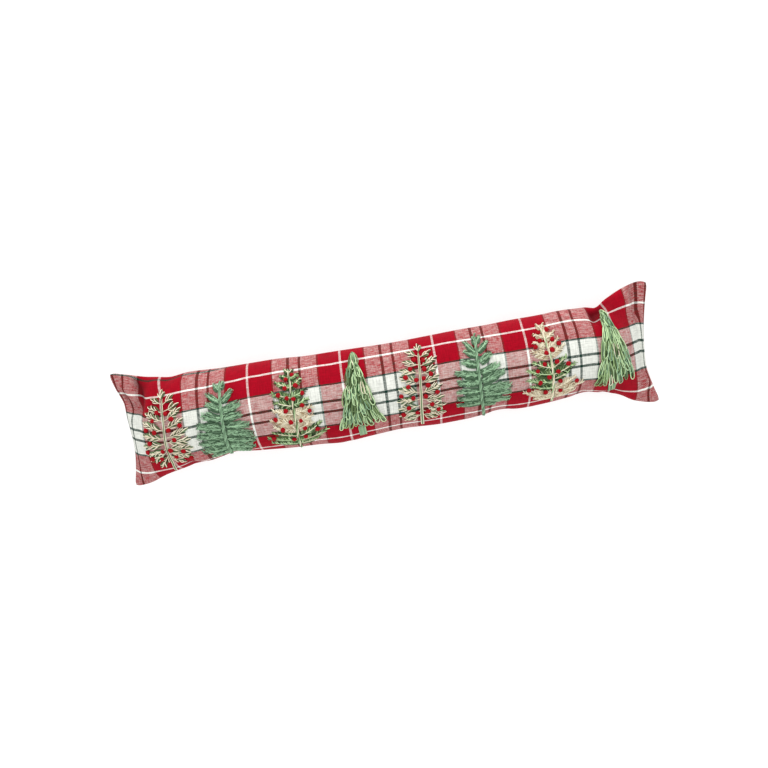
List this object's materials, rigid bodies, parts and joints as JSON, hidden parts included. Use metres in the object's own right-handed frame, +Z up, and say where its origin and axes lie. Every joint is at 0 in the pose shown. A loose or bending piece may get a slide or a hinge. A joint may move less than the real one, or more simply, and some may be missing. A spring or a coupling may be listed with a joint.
{
  "type": "draught excluder",
  "caption": "Long stuffed draught excluder in woven check cloth with knife-edge seams, flared corners and raised fir trees sewn along its face.",
  "frame": {"origin": "on the surface the cushion lies on, under the middle of the cushion", "axes": "+X along the length, +Y towards the tops of the trees, +Z up out of the decorated face"},
  "size_m": [0.877, 0.2016, 0.1104],
  "materials": {
    "check_cloth": "plain-woven cotton check in red, white and dark green, matt",
    "sprig_yarn": "cream and green embroidery yarn, soft sheen",
    "feather_yarn": "sea-green embroidery yarn, soft sheen",
    "bough_yarn": "green and cream embroidery yarn, soft sheen",
    "frond_yarn": "light green embroidery yarn outlined in cream, soft sheen"
  },
  "bodies": {
    "root": {"cushion": "check_cloth", "tree_1_sprigs": "sprig_yarn", "tree_2_feathers": "feather_yarn", "tree_3_boughs": "bough_yarn", "tree_4_fronds": "frond_yarn", "tree_5_sprigs": "sprig_yarn", "tree_6_feathers": "feather_yarn", "tree_7_boughs": "bough_yarn", "tree_8_fronds": "frond_yarn"}
  },
  "joints": []
}
